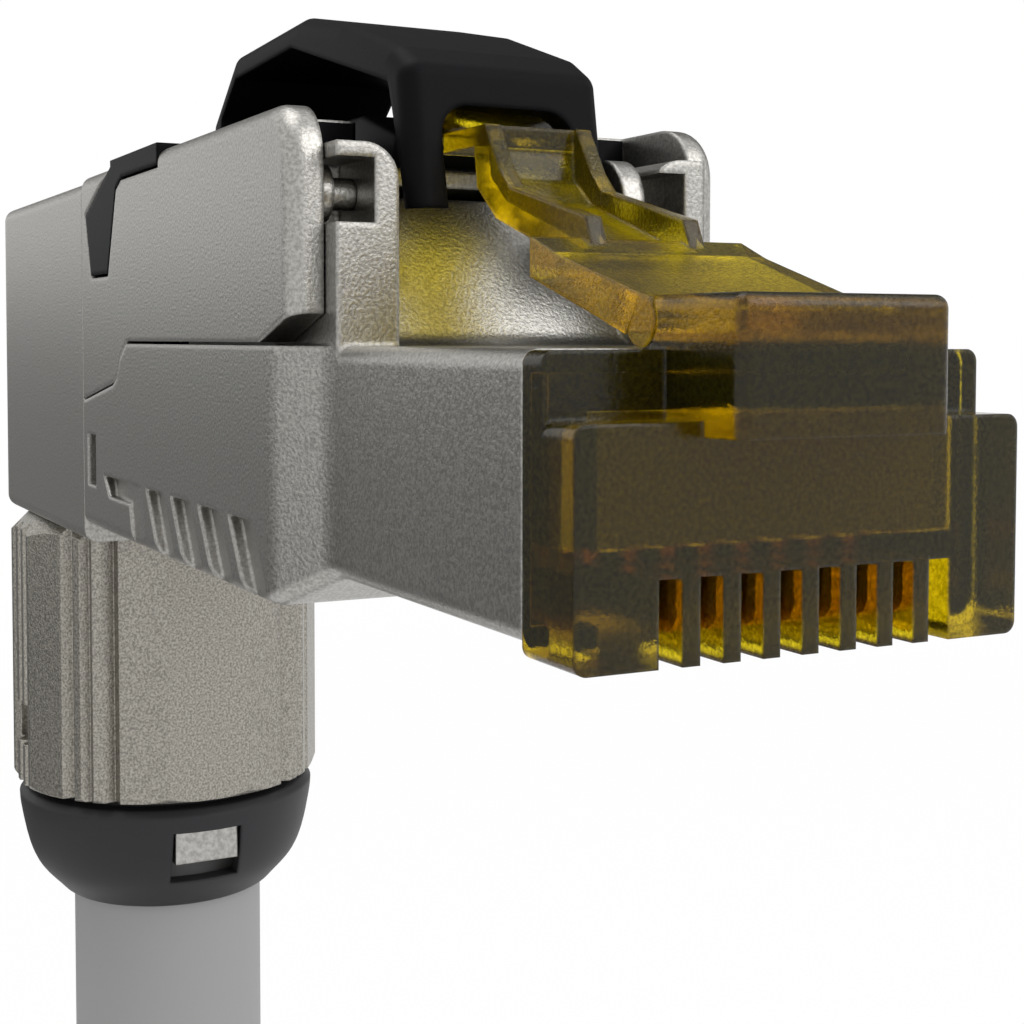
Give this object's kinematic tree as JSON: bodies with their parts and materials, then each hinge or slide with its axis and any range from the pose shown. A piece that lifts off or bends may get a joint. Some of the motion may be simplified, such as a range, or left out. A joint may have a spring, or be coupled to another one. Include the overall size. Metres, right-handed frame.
{
  "type": "rj45 modular plug",
  "caption": "Shielded angled modular data plug for wiring by hand, with latch, release hood, clamp nut and cable stub.",
  "frame": {"origin": "front face of the nose, middle of its width, level with its contact side, where the plug enters a jack", "axes": "+X out of the nose towards the jack, +Y across the width, +Z from the contact side up to the latch"},
  "size_m": [0.0594, 0.0142, 0.097],
  "materials": {
    "translucent_amber": "translucent yellow polycarbonate",
    "gold_contact": "gold plated",
    "dark_carrier": "moulded",
    "cast_nickel": "satin nickel on die casting",
    "black_plastic": "fine texture",
    "nut_nickel": "bead-blasted nickel",
    "green_board": "solder mask",
    "terminal_white": "moulded",
    "terminal_metal": "tin plated",
    "wire_blue": "insulation",
    "jacket_grey": "matt jacket",
    "foil": "foil",
    "braid": "tinned copper braid",
    "spring_steel": "bright",
    "seal_rubber": "matt"
  },
  "bodies": {
    "plug_body": {"nose_insulator": "translucent_amber", "contact_1": "gold_contact", "contact_2": "gold_contact", "contact_3": "gold_contact", "contact_4": "gold_contact", "contact_5": "gold_contact", "contact_6": "gold_contact", "contact_7": "gold_contact", "contact_8": "gold_contact", "contact_carrier": "dark_carrier", "lower_shell": "cast_nickel", "upper_shell": "cast_nickel", "hood_saddle": "black_plastic", "rear_cap": "cast_nickel", "circuit_board": "green_board", "terminal_block": "terminal_white", "terminals": "terminal_metal", "wire_manager": "terminal_white", "pair_wires": "wire_blue", "cable": "jacket_grey", "jacket_end": "jacket_grey", "cable_pairs": "foil", "cable_braid": "braid", "seal_ring": "seal_rubber", "clamp_ring": "black_plastic"},
    "latch_body": {"latch": "translucent_amber"},
    "hood_body": {"release_hood": "black_plastic"},
    "nut_body": {"clamp_nut": "nut_nickel"},
    "collar_body": {"clamp_collar": "black_plastic", "clamp_tooth": "spring_steel"}
  },
  "joints": [
    {"name": "hood_press", "type": "hinge", "parent": "plug_body", "child": "hood_body", "pos_m": [-0.032, 0, 0.01395], "axis": [0, 1, 0], "range_deg": [0, 5.8], "stiffness_Nm_per_rad": 0.08},
    {"name": "latch_press", "type": "hinge", "parent": "plug_body", "child": "latch_body", "pos_m": [-0.0023, 0, 0.00716], "axis": [0, -1, 0], "range_deg": [0, 10], "stiffness_Nm_per_rad": 0.05},
    {"name": "collar_travel", "type": "slide", "parent": "plug_body", "child": "collar_body", "axis": [0, 0, -1], "range_m": [0, 0.001]},
    {"name": "nut_turn", "type": "hinge", "parent": "collar_body", "child": "nut_body", "pos_m": [-0.05105, 0, -0.008], "axis": [0, 0, -1], "range_deg": [0, 360]}
  ],
  "couplings": [
    {"joint": "latch_press", "follows": "hood_press", "ratio": 1.7224},
    {"joint": "nut_turn", "follows": "collar_travel", "rad_per_m": 6283}
  ]
}
